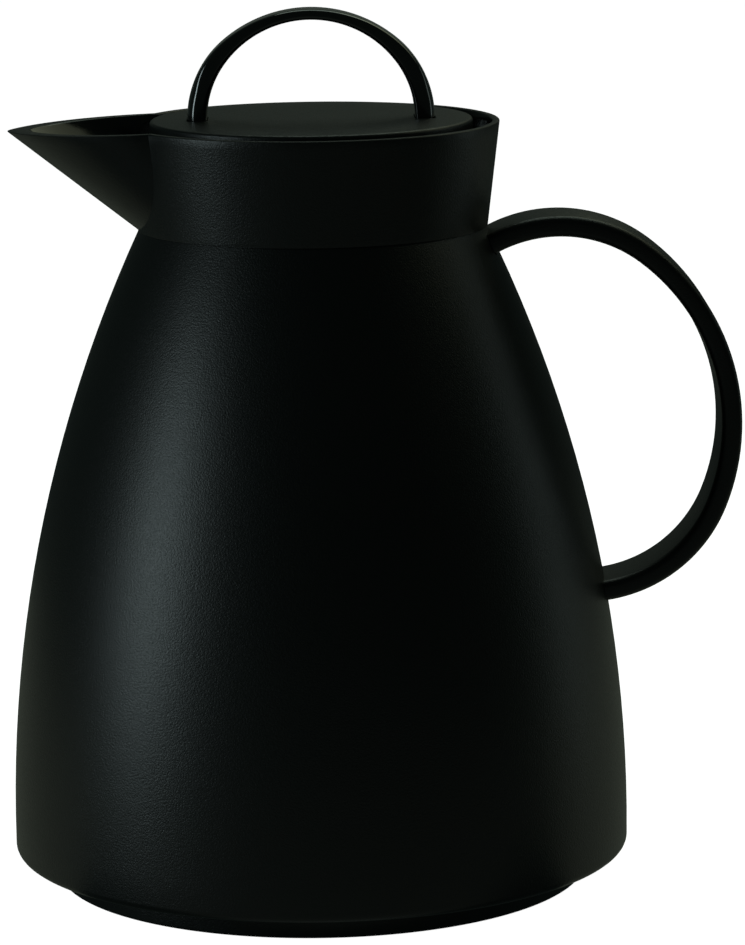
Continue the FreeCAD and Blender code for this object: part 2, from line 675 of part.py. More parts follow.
# Loop: an arch of three tangent arcs on straight feet, thinner at the top than at the feet
def arch(half_width, rise, side_radius):
    """Corners of the arch from its right foot over the top to its left foot."""
    offset = f"({half_width} - {side_radius})"
    top_radius = f"(({offset}^2 + {rise}^2 - {side_radius}^2) / (2 * ({rise} - {side_radius})))"
    spread = f"({top_radius} - {side_radius})"
    joint = f"({offset} + {side_radius} * {offset} / {spread})"
    climb = f"(loop_spring_height + {side_radius} * ({top_radius} - {rise}) / {spread})"
    return [
        (half_width, "loop_foot_height"),
        (half_width, "loop_spring_height", side_radius, 1),
        (joint, climb, top_radius, 1),
        (f"-{joint}", climb, side_radius, 1),
        (f"-{half_width}", "loop_spring_height"),
        (f"-{half_width}", "loop_foot_height"),
    ]


loop_solid = new_body("loop_arch")
loop_pad = loop_solid.newObject("PartDesign::Pad", "loop_pad")
loop_pad.Profile = draw(new_sketch(loop_solid, "loop_outline", "XZ_Plane"), [
    *arch("loop_half_width", "loop_rise", "loop_side_radius"),
    *reverse(arch("loop_inner_half_width", "loop_inner_rise", "loop_inner_side_radius")),
])
loop_pad.SideType = "Symmetric"
bind(loop_pad, Length="loop_depth")
doc.recompute()
long_edges = [f"Edge{index}" for index, edge in enumerate(loop_pad.Shape.Edges, 1)
              if abs(edge.BoundBox.YLength) < number("fit_gap")
              and edge.BoundBox.ZMax > number("lid_edge_height")]
loop_edges = loop_solid.newObject("PartDesign::Fillet", "loop_edges")
loop_edges.Base = (loop_pad, long_edges)
bind(loop_edges, Radius="loop_corner_radius")
lid_loop = cut("lid_loop", loop_solid, *hole_tools)

# Stopper: a hollow plug filled with foam, closed by a plate under the lid and by the cap with the seal
plate_disc = turned_piece("plate_disc", [
    ("0", "plate_height"),
    ("plate_radius", "plate_height"),
    ("plate_radius", "lid_under_height"),
    ("0", "lid_under_height"),
])
stopper_plate = cut("stopper_plate", plate_disc, *hole_tools)
stopper_body = turned_piece("stopper_body", [
    ("cap_boss_radius + fit_gap", "stopper_foot_height"),
    ("stopper_flare_radius", "stopper_foot_height"),
    ("stopper_flare_radius", "stopper_floor_height"),
    ("stopper_radius", "stopper_floor_height"),
    ("stopper_radius", "plate_height"),
    ("stopper_bore_radius", "plate_height"),
    ("stopper_bore_radius", "stopper_floor_height"),
    ("cap_boss_radius + fit_gap", "stopper_floor_height"),
])
stopper_foam = turned_piece("stopper_foam", [
    ("0", "stopper_floor_height"),
    ("stopper_bore_radius - fit_gap", "stopper_floor_height"),
    ("stopper_bore_radius - fit_gap", "plate_height"),
    ("0", "plate_height"),
])
stopper_cap = turned_piece("stopper_cap", [
    ("0", "cap_flange_height - cap_thickness"),
    ("cap_radius", "cap_flange_height - cap_thickness"),
    ("cap_radius", "cap_flange_height"),
    ("cap_spigot_radius", "cap_flange_height"),
    ("cap_spigot_radius", "stopper_foot_height"),
    ("cap_boss_radius", "stopper_foot_height"),
    ("cap_boss_radius", "stopper_floor_height"),
    ("0", "stopper_floor_height"),
])
stopper_seal = turned_piece("stopper_seal", [
    ("seal_bore_radius", "seal_height"),
    ("seal_radius", "seal_height"),
    ("seal_radius", "seal_height + seal_thickness"),
    ("seal_bore_radius", "seal_height + seal_thickness"),
])

PIECES = [
    body_shell, spout_collar, handle, handle_pin, base_cover, base_seal, base_cushion,
    flask_outer, flask_inner, flask_spacers, neck_seal, neck_insert, collar_gasket,
    lid_cover, lid_loop, loop_screws, stopper_plate, stopper_body, stopper_foam, stopper_cap, stopper_seal,
]
doc.recompute()
for thing in doc.Objects:
    if "Invalid" in thing.State or "Error" in thing.State:
        raise RuntimeError(f"{thing.Label} failed: {thing.State}")
for piece in PIECES:
    if piece.Shape.isNull() or not piece.Shape.isValid():
        raise RuntimeError(f"{piece.Label} has no valid shape")
os.makedirs("parts", exist_ok=True)
for piece in PIECES:
    piece.Shape.exportStep(f"parts/{piece.Label}.step")
    extent = piece.Shape.BoundBox
    print(f"{piece.Label}: {len(piece.Shape.Solids)} solids, {piece.Shape.Volume / 1000:.2f} cm3, "
          f"z {extent.ZMin:.2f} to {extent.ZMax:.2f}")
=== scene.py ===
# Thermal carafe in matt black plastic, dressed piece by piece from the foot up.
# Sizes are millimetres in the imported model's frame: +Z up, the spout towards -X, the handle towards +X.
import json
import math

import bmesh
import bpy
from mathutils import Matrix, Vector


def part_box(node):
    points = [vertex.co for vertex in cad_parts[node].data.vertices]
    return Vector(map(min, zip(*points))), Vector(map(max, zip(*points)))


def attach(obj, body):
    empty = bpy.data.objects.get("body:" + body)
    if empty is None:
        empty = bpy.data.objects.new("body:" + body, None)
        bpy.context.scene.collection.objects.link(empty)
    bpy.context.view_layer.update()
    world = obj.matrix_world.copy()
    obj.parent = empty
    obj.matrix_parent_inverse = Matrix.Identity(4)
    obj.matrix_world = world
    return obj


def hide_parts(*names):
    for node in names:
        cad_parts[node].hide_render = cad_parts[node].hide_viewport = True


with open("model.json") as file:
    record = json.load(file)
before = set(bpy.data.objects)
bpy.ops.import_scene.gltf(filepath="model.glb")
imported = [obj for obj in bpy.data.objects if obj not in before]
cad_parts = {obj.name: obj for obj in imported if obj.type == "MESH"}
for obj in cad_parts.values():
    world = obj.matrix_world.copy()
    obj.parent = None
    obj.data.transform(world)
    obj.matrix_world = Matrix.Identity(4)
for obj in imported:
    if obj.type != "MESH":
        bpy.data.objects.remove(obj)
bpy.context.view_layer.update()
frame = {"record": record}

# Base cover
# The screw-in bottom: foot ring, floor and plug in one polypropylene moulding, as matt as the body.
# Fingers turn it by the bar that crosses its recess and lies flush with the foot.
MM = 0.001
FOOT_HEIGHT = 7.2
BASE_HOLE_RADIUS = 68.0
BASE_FLOOR = 5.0
FIT_GAP = 0.15


def wire(bm, corners, closed=True):
    """Draws edges in the XZ plane through (x, z) corners. A third number in a corner starts an arc of that
    radius to the next one, turning left where it is positive and right where it is negative."""
    points = [Vector((corner[0], 0, corner[1])) * MM for corner in corners]
    tip = first = bm.verts.new(points[0])
    for index, corner in enumerate(corners if closed else corners[:-1]):
        end = points[(index + 1) % len(points)]
        if len(corner) == 2:
            following = first if closed and index == len(corners) - 1 else bm.verts.new(end)
            bm.edges.new((tip, following))
            tip = following
            continue
        radius = abs(corner[2]) * MM
        turn_left = math.copysign(1, corner[2])
        chord = end - tip.co
        side = Vector((-chord.z, 0, chord.x)).normalized() * turn_left
        centre = tip.co + chord / 2 + side * math.sqrt(max(0, radius ** 2 - (chord.length / 2) ** 2))
        angle = 2 * math.asin(min(1, chord.length / 2 / radius))
        largest_step = math.sqrt(8 * ARC_SAG * MM / radius)
        arc = bmesh.ops.spin(bm, geom=[tip], cent=centre, axis=(0, -turn_left, 0), angle=angle,
                             steps=max(3, math.ceil(angle / largest_step)))
        tip = arc["geom_last"][0]
    bmesh.ops.remove_doubles(bm, verts=bm.verts, dist=MERGE)


def turn(bm, steps=180):
    """Turns all that is drawn once round the carafe's axis."""
    bmesh.ops.spin(bm, geom=bm.verts[:] + bm.edges[:], cent=(0, 0, 0), axis=(0, 0, 1),
                   angle=2 * math.pi, steps=steps, use_merge=True)
    bmesh.ops.remove_doubles(bm, verts=bm.verts, dist=MERGE)


def settle(node, name, bm, material):
    """Makes the finished mesh the piece that stands for a node and rides on its body."""
    bmesh.ops.remove_doubles(bm, verts=bm.verts, dist=MERGE)
    bmesh.ops.recalc_face_normals(bm, faces=bm.faces)
    for face in bm.faces:
        face.smooth = True
    for edge in bm.edges:
        edge.smooth = edge.calc_face_angle(0) < SHARP_ANGLE
    mesh = bpy.data.meshes.new(name)
    bm.to_mesh(mesh)
    bm.free()
    mesh.materials.append(material)
    piece = bpy.data.objects.new(name, mesh)
    bpy.context.collection.objects.link(piece)
    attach(piece, bodies[node])
    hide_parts(node)
    return piece


def linear(colour):
    """The linear values of an sRGB hex colour."""
    shares = [int(colour[place:place + 2], 16) / 255 for place in (1, 3, 5)]
    return [v / 12.92 if v <= 0.04045 else ((v + 0.055) / 1.055) ** 2.4 for v in shares] + [1.0]


def add(tree, kind, values, **settings):
    """Adds a node. A value that is a socket is linked, any other is set."""
    node = tree.nodes.new(kind)
    for name, value in settings.items():
        setattr(node, name, value)
    for name, value in values.items():
        if isinstance(value, bpy.types.NodeSocket):
            tree.links.new(value, node.inputs[name])
        else:
            node.inputs[name].default_value = value
    return node


def moulded_plastic(name, dark, light, roughness, grain, depth):
    """A moulded black plastic: pigment that varies a little, and the grain that the eroded mould left on it.
    The grain is given in millimetres, and drawn coarser than the real 0.1 mm so that it shows."""
    material = bpy.data.materials.new(name)
    material.use_nodes = True
    tree = material.node_tree
    shader = tree.nodes["Principled BSDF"]
    place = add(tree, "ShaderNodeTexCoord", {}).outputs["Object"]
    cloud = add(tree, "ShaderNodeTexNoise", {"Vector": place, "Scale": 1 / (CLOUD_SIZE * MM), "Detail": 3.0})
    tint = add(tree, "ShaderNodeMix", {"Factor": cloud.outputs["Fac"], "A": linear(dark), "B": linear(light)},
               data_type="RGBA")
    pits = add(tree, "ShaderNodeTexNoise", {"Vector": place, "Scale": 1 / (grain * MM), "Detail": 2.0})
    shine = add(tree, "ShaderNodeMapRange", {"Value": pits.outputs["Fac"], "From Min": 0.3, "From Max": 0.7,
                                             "To Min": roughness - SHINE_RANGE,
                                             "To Max": roughness + SHINE_RANGE})
    relief = add(tree, "ShaderNodeBump", {"Height": pits.outputs["Fac"], "Strength": 1.0,
                                          "Distance": depth * MM})
    tree.links.new(tint.outputs["Result"], shader.inputs["Base Color"])
    tree.links.new(shine.outputs["Result"], shader.inputs["Roughness"])
    tree.links.new(relief.outputs["Normal"], shader.inputs["Normal"])
    shader.inputs["IOR"].default_value = PLASTIC_IOR
    return material


ARC_SAG = 0.02
MERGE = 0.001 * MM
SHARP_ANGLE = math.radians(30)
CLOUD_SIZE = 40.0
SHINE_RANGE = 0.05
PLASTIC_IOR = 1.49
bodies = {node: body for body, nodes in frame["record"]["behaviour"]["bodies"].items() for node in nodes}
matt_polypropylene = moulded_plastic("matt_black_polypropylene", "#060a09", "#0a0e0d", 0.38, 0.45, 0.08)

FOOT_RADIUS = 72.0
RECESS_RADIUS = 65.0
RECESS_DEPTH = 2.8
PLUG_RADIUS = BASE_HOLE_RADIUS - FIT_GAP
PLUG_WALL = 2.2
PLUG_TOP = 15.2
SEAL_GROOVE = (68.6, 70.6, 1.2)
GRIP_BAR_WIDTH = 12.0
EDGE = 0.8
bm = bmesh.new()
wire(bm, [
    (RECESS_RADIUS, EDGE, -EDGE), (RECESS_RADIUS + EDGE, 0),
    (FOOT_RADIUS - EDGE, 0, EDGE), (FOOT_RADIUS, EDGE), (FOOT_RADIUS, FOOT_HEIGHT),
    (SEAL_GROOVE[1], FOOT_HEIGHT), (SEAL_GROOVE[1], FOOT_HEIGHT - SEAL_GROOVE[2]),
    (SEAL_GROOVE[0], FOOT_HEIGHT - SEAL_GROOVE[2]), (SEAL_GROOVE[0], FOOT_HEIGHT),
    (PLUG_RADIUS, FOOT_HEIGHT), (PLUG_RADIUS, PLUG_TOP), (PLUG_RADIUS - PLUG_WALL, PLUG_TOP),
    (PLUG_RADIUS - PLUG_WALL, BASE_FLOOR), (0, BASE_FLOOR), (0, RECESS_DEPTH),
    (RECESS_RADIUS - EDGE, RECESS_DEPTH, -EDGE), (RECESS_RADIUS, RECESS_DEPTH - EDGE),
])
turn(bm)
bar = bmesh.ops.create_cube(bm, size=1)["verts"]
bmesh.ops.scale(bm, vec=(2 * (RECESS_RADIUS + EDGE) * MM, GRIP_BAR_WIDTH * MM, (RECESS_DEPTH + EDGE) * MM),
                verts=bar)
bmesh.ops.translate(bm, vec=(0, 0, (RECESS_DEPTH + EDGE) / 2 * MM), verts=bar)
bar_edges = [edge for edge in {edge for vert in bar for edge in vert.link_edges}
             if all(vert.co.z < MM for vert in edge.verts)]
bmesh.ops.bevel(bm, geom=bar_edges, offset=EDGE * MM, segments=4, profile=0.5, affect="EDGES", material=-1)
settle("base_cover", "base_moulding", bm, matt_polypropylene)

# Base seal and cushion
# A rubber ring keeps washing water out of the base, and a thick rubber cushion carries the glass liner.
# Both are moulded rubber with a dull, slightly dusty face.
rubber = moulded_plastic("moulded_rubber", "#1b1b1a", "#262624", 0.72, 0.6, 0.03)
SEAL_ROUND = 0.35
bm = bmesh.new()
seal_in, seal_out, seal_low = SEAL_GROOVE[0] + FIT_GAP, SEAL_GROOVE[1] - FIT_GAP, FOOT_HEIGHT - SEAL_GROOVE[2]
wire(bm, [
    (seal_in, seal_low + SEAL_ROUND, SEAL_ROUND), (seal_in + SEAL_ROUND, seal_low),
    (seal_out - SEAL_ROUND, seal_low, SEAL_ROUND), (seal_out, seal_low + SEAL_ROUND),
    (seal_out, FOOT_HEIGHT - SEAL_ROUND, SEAL_ROUND), (seal_out - SEAL_ROUND, FOOT_HEIGHT),
    (seal_in + SEAL_ROUND, FOOT_HEIGHT, SEAL_ROUND), (seal_in, FOOT_HEIGHT - SEAL_ROUND),
])
turn(bm)
settle("base_seal", "base_ring_seal", bm, rubber)

LINER_FOOT = 17.0
CUSHION_RADIUS = 38.0
CUSHION_BORE = 9.0
CUSHION_ROUND = 1.5
bm = bmesh.new()
wire(bm, [
    (CUSHION_BORE, BASE_FLOOR), (CUSHION_RADIUS, BASE_FLOOR),
    (CUSHION_RADIUS, LINER_FOOT - CUSHION_ROUND, CUSHION_ROUND), (CUSHION_RADIUS - CUSHION_ROUND, LINER_FOOT),
    (CUSHION_BORE + CUSHION_ROUND, LINER_FOOT, CUSHION_ROUND), (CUSHION_BORE, LINER_FOOT - CUSHION_ROUND),
])
turn(bm)
settle("base_cushion", "liner_cushion", bm, rubber)

# Glass liner
# Two blown bottles, one in the other, fused at the lip and silvered in the vacuum between them.
# The outer one ends in the glass tip where the vacuum was sealed off.
LINER_RADIUS = 60.0
LINER_NECK = 30.0
LINER_CORNER = 22.0
LINER_SHOULDER = 118.0
LINER_NECK_HEIGHT = 156.0
LINER_LIP = 165.0
LINER_STEPS = 96
GLASS = 1.6
VACUUM = 2.6
SHOULDER_SHARE = 0.65


def bottle_side(depth):
    """Corners of a bottle's wall, from the bottom to the neck, this deep in the liner."""
    shift, climb = LINER_RADIUS - LINER_NECK, LINER_NECK_HEIGHT - LINER_SHOULDER
    radii = (shift ** 2 + climb ** 2) / (2 * shift)
    shoulder = SHOULDER_SHARE * radii
    run, rise = (radii - shift) / radii, climb / radii
    return [
        (LINER_RADIUS - LINER_CORNER, LINER_FOOT + depth, LINER_CORNER - depth),
        (LINER_RADIUS - depth, LINER_FOOT + LINER_CORNER),
        (LINER_RADIUS - depth, LINER_SHOULDER, shoulder - depth),
        (LINER_RADIUS - shoulder + (shoulder - depth) * run, LINER_SHOULDER + (shoulder - depth) * rise,
         -(radii - shoulder + depth)),
        (LINER_NECK - depth, LINER_NECK_HEIGHT),
    ]


def walked_back(corners):
    """The same corners from the last to the first, each arc kept on its edge."""
    arcs = [[-corner[2]] if len(corner) > 2 else [] for corner in corners[:-1]]
    return [(*corner[:2], *arc) for corner, arc in zip(corners[::-1], arcs[::-1] + [[]])]


silvered_glass = bpy.data.materials.new("silvered_glass")
silvered_glass.use_nodes = True
tree = silvered_glass.node_tree
shader = tree.nodes["Principled BSDF"]
place = add(tree, "ShaderNodeTexCoord", {}).outputs["Object"]
waves = add(tree, "ShaderNodeTexNoise", {"Vector": place, "Scale": 1 / (12 * MM), "Detail": 1.0})
ripple = add(tree, "ShaderNodeBump", {"Height": waves.outputs["Fac"], "Strength": 0.3, "Distance": 0.1 * MM})
film = add(tree, "ShaderNodeMix", {"Factor": waves.outputs["Fac"], "A": linear("#c9cecd"),
                                   "B": linear("#e4e6e2")}, data_type="RGBA")
tree.links.new(film.outputs["Result"], shader.inputs["Base Color"])
tree.links.new(ripple.outputs["Normal"], shader.inputs["Normal"])
shader.inputs["Metallic"].default_value = 1.0
shader.inputs["Roughness"].default_value = 0.06
shader.inputs["Coat Weight"].default_value = 1.0
shader.inputs["Coat Roughness"].default_value = 0.02

TIP_RADIUS = 3.0
TIP_LENGTH = 6.0
bm = bmesh.new()
wire(bm, [
    (0, LINER_FOOT - TIP_LENGTH), (TIP_RADIUS / 2, LINER_FOOT - TIP_LENGTH), (TIP_RADIUS, LINER_FOOT),
    *bottle_side(0), (LINER_NECK, LINER_LIP - GLASS), (LINER_NECK - GLASS, LINER_LIP - GLASS),
    *walked_back(bottle_side(GLASS)), (0, LINER_FOOT + GLASS),
])
turn(bm, LINER_STEPS)
settle("flask_outer", "outer_bottle", bm, silvered_glass)
inside = GLASS + VACUUM
bm = bmesh.new()
wire(bm, [
    (0, LINER_FOOT + inside), *bottle_side(inside), (LINER_NECK - inside, LINER_LIP - GLASS),
    (LINER_NECK, LINER_LIP - GLASS), (LINER_NECK, LINER_LIP), (LINER_NECK - inside - GLASS, LINER_LIP),
    *walked_back(bottle_side(inside + GLASS)), (0, LINER_FOOT + inside + GLASS),
])
turn(bm, LINER_STEPS)
settle("flask_inner", "inner_bottle", bm, silvered_glass)

mineral_pad = moulded_plastic("pressed_mineral_pad", "#8a8272", "#a39a88", 0.9, 0.8, 0.1)
SPACER_SIDE = 8.0
SPACER_THICKNESS = 2.25
SPACER_HEIGHT = 100.0
SPACER_EDGE = 0.4
bm = bmesh.new()
for third in range(3):
    pad = bmesh.ops.create_cube(bm, size=1)["verts"]
    bmesh.ops.scale(bm, vec=(SPACER_THICKNESS * MM, SPACER_SIDE * MM, SPACER_SIDE * MM), verts=pad)
    bmesh.ops.translate(bm, vec=((LINER_RADIUS - GLASS - VACUUM / 2) * MM, 0, SPACER_HEIGHT * MM), verts=pad)
    bmesh.ops.rotate(bm, cent=(0, 0, 0), matrix=Matrix.Rotation(third * 2 * math.pi / 3, 3, "Z"), verts=pad)
bmesh.ops.bevel(bm, geom=bm.edges[:], offset=SPACER_EDGE * MM, segments=2, profile=0.5, affect="EDGES",
                material=-1)
settle("flask_spacers", "vacuum_pads", bm, mineral_pad)

# Body shell
# The bell-shaped casing, one polypropylene moulding whose flank is a single long arc.
# Two slots in the wall take the ends of the handle, and a flange at the bottom takes the base.
BELLY_RADIUS = 83.6
BELLY_HEIGHT = 13.8
SEAM_RADIUS = 46.37
SEAM_HEIGHT = 177.0
FLANK_DRAW = BELLY_RADIUS - SEAM_RADIUS
FLANK = (FLANK_DRAW ** 2 + (SEAM_HEIGHT - BELLY_HEIGHT) ** 2) / (2 * FLANK_DRAW)
WALL = 2.4
UNDER_EDGE = 2.2
SEAM_EDGE = 0.1
BASE_COLLAR_HEIGHT = 10.0
OUTER_STEPS = 240


def flank_radius(height, wall=0.0):
    return BELLY_RADIUS - FLANK + math.sqrt((FLANK - wall) ** 2 - (height - BELLY_HEIGHT) ** 2)


bm = bmesh.new()
edge_height = FOOT_HEIGHT + UNDER_EDGE
collar_top = FOOT_HEIGHT + BASE_COLLAR_HEIGHT
wire(bm, [
    (flank_radius(SEAM_HEIGHT, WALL), SEAM_HEIGHT), (flank_radius(SEAM_HEIGHT) - SEAM_EDGE, SEAM_HEIGHT),
    (flank_radius(SEAM_HEIGHT - SEAM_EDGE), SEAM_HEIGHT - SEAM_EDGE, -FLANK),
    (flank_radius(edge_height), edge_height, -UNDER_EDGE),
    (flank_radius(edge_height) - UNDER_EDGE, FOOT_HEIGHT),
    (BASE_HOLE_RADIUS, FOOT_HEIGHT), (BASE_HOLE_RADIUS, collar_top), (BASE_HOLE_RADIUS + WALL, collar_top),
    (BASE_HOLE_RADIUS + WALL, FOOT_HEIGHT + WALL),
    (flank_radius(FOOT_HEIGHT + WALL, WALL), FOOT_HEIGHT + WALL, FLANK - WALL),
])
turn(bm, OUTER_STEPS)

# Handle
# A strap in the same matt plastic, bent in three arcs that run into each other.
# Its two ends pass through the wall of the body, and a cross pin locks the lower one.
STRAP_WIDTH = 21.5
STRAP_THICKNESS = 5.6
STRAP_CORNER = 1.9
STRAP_ANGLES = (121.5, 52.6, -21.7, -90.0)
STRAP_RADII = (38.2, 58.3, 37.7)
STRAP_APEX = (65.6, 176.9)
STRAP_TAIL = 5.2
STRAP_STEP = math.radians(2.5)
SLOT_CROSSINGS = ((0, 117.0), (2, -81.4))


def outwards(degrees):
    return Vector((math.cos(math.radians(degrees)), 0, math.sin(math.radians(degrees))))


arc_centres = [Vector((STRAP_APEX[0], 0, STRAP_APEX[1] - STRAP_RADII[0]))]
for joint in (1, 2):
    step = STRAP_RADII[joint - 1] - STRAP_RADII[joint]
    arc_centres.append(arc_centres[-1] + outwards(STRAP_ANGLES[joint]) * step)

# The slots are cut square to the strap where it meets the wall: on which arc, and at which angle of it
for arc, crossing in SLOT_CROSSINGS:
    radial = outwards(crossing)
    middle = (arc_centres[arc] + radial * STRAP_RADII[arc]) * MM
    near = [face for face in bm.faces if (face.calc_center_median() - middle).length < STRAP_WIDTH * MM]
    cut = near + list({edge for face in near for edge in face.edges})
    cut += list({vert for face in near for vert in face.verts})
    for normal, reach in ((radial, STRAP_THICKNESS), (Vector((0, 1, 0)), STRAP_WIDTH)):
        for side in (-1, 1):
            plane = middle + normal * side * (reach / 2 + FIT_GAP) * MM
            cut = bmesh.ops.bisect_plane(bm, geom=cut, dist=MERGE, plane_co=plane, plane_no=normal)["geom"]
    slot = [face for face in cut if isinstance(face, bmesh.types.BMFace)
            and abs((face.calc_center_median() - middle).dot(radial)) < (STRAP_THICKNESS / 2 + FIT_GAP) * MM
            and abs(face.calc_center_median().y) < (STRAP_WIDTH / 2 + FIT_GAP) * MM]
    bmesh.ops.delete(bm, geom=slot, context="FACES")
    bmesh.ops.bridge_loops(bm, edges=[edge for edge in bm.edges if edge.is_boundary])
settle("body_shell", "bell_moulding", bm, matt_polypropylene)

bm = bmesh.new()
start = arc_centres[0] + outwards(STRAP_ANGLES[0]) * STRAP_RADII[0]
corners = [(start + outwards(STRAP_ANGLES[0]) * thick * STRAP_THICKNESS / 2
            + Vector((0, wide * STRAP_WIDTH / 2, 0))) * MM
           for thick, wide in ((-1, -1), (1, -1), (1, 1), (-1, 1))]
bm.faces.new([bm.verts.new(corner) for corner in corners])
bmesh.ops.bevel(bm, geom=bm.verts[:], offset=STRAP_CORNER * MM, segments=6, profile=0.5, affect="VERTICES",
                material=-1)
bmesh.ops.delete(bm, geom=bm.faces[:], context="FACES_ONLY")
ring = bm.verts[:] + bm.edges[:]
for arc in range(3):
    sweep = math.radians(STRAP_ANGLES[arc] - STRAP_ANGLES[arc + 1])
    ring = bmesh.ops.spin(bm, geom=ring, cent=arc_centres[arc] * MM, axis=(0, 1, 0), angle=sweep,
                          steps=math.ceil(sweep / STRAP_STEP))["geom_last"]
last_edges = [item for item in ring if isinstance(item, bmesh.types.BMEdge)]
tail = bmesh.ops.extrude_edge_only(bm, edges=last_edges)["geom"]
tail = [item for item in tail if isinstance(item, bmesh.types.BMVert)]
bmesh.ops.translate(bm, vec=(-STRAP_TAIL * MM, 0, 0), verts=tail)
bmesh.ops.holes_fill(bm, edges=bm.edges[:], sides=0)
settle("handle", "handle_strap", bm, matt_polypropylene)

# Cross pin
# A plain stainless pin through the lower end of the handle, behind the wall of the body.
PIN_RADIUS = 1.6
PIN_LENGTH = 30.0
PIN_EDGE = 0.3
stainless = bpy.data.materials.new("drawn_stainless_steel")
stainless.use_nodes = True
tree = stainless.node_tree
shader = tree.nodes["Principled BSDF"]
place = add(tree, "ShaderNodeTexCoord", {}).outputs["Object"]
along = add(tree, "ShaderNodeMapping", {"Vector": place, "Scale": (1.0, 0.05, 1.0)})
scratches = add(tree, "ShaderNodeTexNoise", {"Vector": along.outputs["Vector"], "Scale": 1 / (0.2 * MM)})
dull = add(tree, "ShaderNodeMapRange", {"Value": scratches.outputs["Fac"], "To Min": 0.2, "To Max": 0.4})
tree.links.new(dull.outputs["Result"], shader.inputs["Roughness"])
shader.inputs["Base Color"].default_value = linear("#b9b8b4")
shader.inputs["Metallic"].default_value = 1.0
pin_low, pin_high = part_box("handle_pin")
pin_centre = (pin_low + pin_high) / 2
bm = bmesh.new()
bmesh.ops.create_cone(bm, cap_ends=True, segments=32, radius1=PIN_RADIUS * MM, radius2=PIN_RADIUS * MM,
                      depth=PIN_LENGTH * MM)
rims = [edge for edge in bm.edges if abs(edge.verts[0].co.z - edge.verts[1].co.z) < MERGE]
bmesh.ops.bevel(bm, geom=rims, offset=PIN_EDGE * MM, segments=2, profile=0.5, affect="EDGES", material=-1)
bmesh.ops.rotate(bm, cent=(0, 0, 0), matrix=Matrix.Rotation(math.pi / 2, 3, "X"), verts=bm.verts)
bmesh.ops.translate(bm, vec=pin_centre, verts=bm.verts)
settle("handle_pin", "handle_cross_pin", bm, stainless)

# Throat
# A silicone ring caps the glass lip. The throat ring stands on it and carries the stopper's seat and
# two short thread ridges, and a flat gasket seals it under the floor of the collar.
silicone = moulded_plastic("milky_silicone", "#b9bab4", "#c9cac4", 0.5, 0.5, 0.01)
satin_polypropylene = moulded_plastic("satin_black_polypropylene", "#0c0d0d", "#111312", 0.34, 0.3, 0.008)
NECK_SEAL_BORE = 25.2
NECK_SEAL_TOP = 167.2
NECK_SEAL_FOOT = 159.0
NECK_SEAL_WALL = 1.3
INNER_STEPS = 120
bm = bmesh.new()
skirt = LINER_NECK + FIT_GAP
wire(bm, [
    (NECK_SEAL_BORE, LINER_LIP), (skirt, LINER_LIP), (skirt, NECK_SEAL_FOOT),
    (skirt + NECK_SEAL_WALL, NECK_SEAL_FOOT), (skirt + NECK_SEAL_WALL, NECK_SEAL_TOP),
    (NECK_SEAL_BORE, NECK_SEAL_TOP),
])
turn(bm, INNER_STEPS)
settle("neck_seal", "lip_seal", bm, silicone)

THROAT_RADIUS = 29.5
THROAT_WALL = 3.1
THROAT_TOP = 186.0
SEAT_RADIUS = 25.0
SEAT_HEIGHT = 169.6
FLANGE_RADIUS = 40.4
GASKET_HEIGHT = 175.6
FLANGE_THICKNESS = 2.4
THREAD_LEAD = 18.0
THREAD_ARC = 110.0
THREAD_HALF = 1.5
THREAD_CREST = 0.6
THREAD_STEPS = 40
FEMALE_CREST = 27.3
FEMALE_START = 177.6


def thread_ridges(bm, root, crest, height, from_angle):
    """Two ridges that wind up a wall opposite each other, starting at this height and angle."""
    for half_turn in (0, 180):
        profile = [(root, height - THREAD_HALF), (crest, height - THREAD_CREST),
                   (crest, height + THREAD_CREST), (root, height + THREAD_HALF)]
        verts = [bm.verts.new(Vector((radius, 0, level)) * MM) for radius, level in profile]
        edges = [bm.edges.new((verts[index], verts[(index + 1) % 4])) for index in range(4)]
        start_turn = Matrix.Rotation(math.radians(from_angle + half_turn), 3, "Z")
        bmesh.ops.rotate(bm, cent=(0, 0, 0), matrix=start_turn, verts=verts)
        climb = THREAD_LEAD * THREAD_ARC / 360 / THREAD_STEPS * MM
        bmesh.ops.spin(bm, geom=verts + edges, cent=(0, 0, 0), axis=(0, 0, 1), dvec=(0, 0, climb),
                       angle=math.radians(THREAD_ARC), steps=THREAD_STEPS)
    bmesh.ops.holes_fill(bm, edges=[edge for edge in bm.edges if edge.is_boundary], sides=4)


bm = bmesh.new()
outer = THROAT_RADIUS + THROAT_WALL
round_top = THROAT_WALL / 2
wire(bm, [
    (SEAT_RADIUS, NECK_SEAL_TOP), (outer, NECK_SEAL_TOP), (outer, GASKET_HEIGHT - FLANGE_THICKNESS),
    (FLANGE_RADIUS, GASKET_HEIGHT - FLANGE_THICKNESS), (FLANGE_RADIUS, GASKET_HEIGHT), (outer, GASKET_HEIGHT),
    (outer, THROAT_TOP - round_top, round_top), (outer - round_top, THROAT_TOP, round_top),
    (THROAT_RADIUS, THROAT_TOP - round_top), (THROAT_RADIUS, SEAT_HEIGHT), (SEAT_RADIUS, SEAT_HEIGHT),
])
turn(bm, INNER_STEPS)
thread_ridges(bm, THROAT_RADIUS + FIT_GAP, FEMALE_CREST, FEMALE_START, 0)
settle("neck_insert", "throat_ring", bm, satin_polypropylene)

GASKET_MARGIN = 0.6
bm = bmesh.new()
gasket_in, gasket_out = outer + GASKET_MARGIN, FLANGE_RADIUS - GASKET_MARGIN
wire(bm, [(gasket_in, GASKET_HEIGHT), (gasket_out, GASKET_HEIGHT), (gasket_out, SEAM_HEIGHT),
          (gasket_in, SEAM_HEIGHT)])
turn(bm, INNER_STEPS)
settle("collar_gasket", "flat_gasket", bm, silicone)

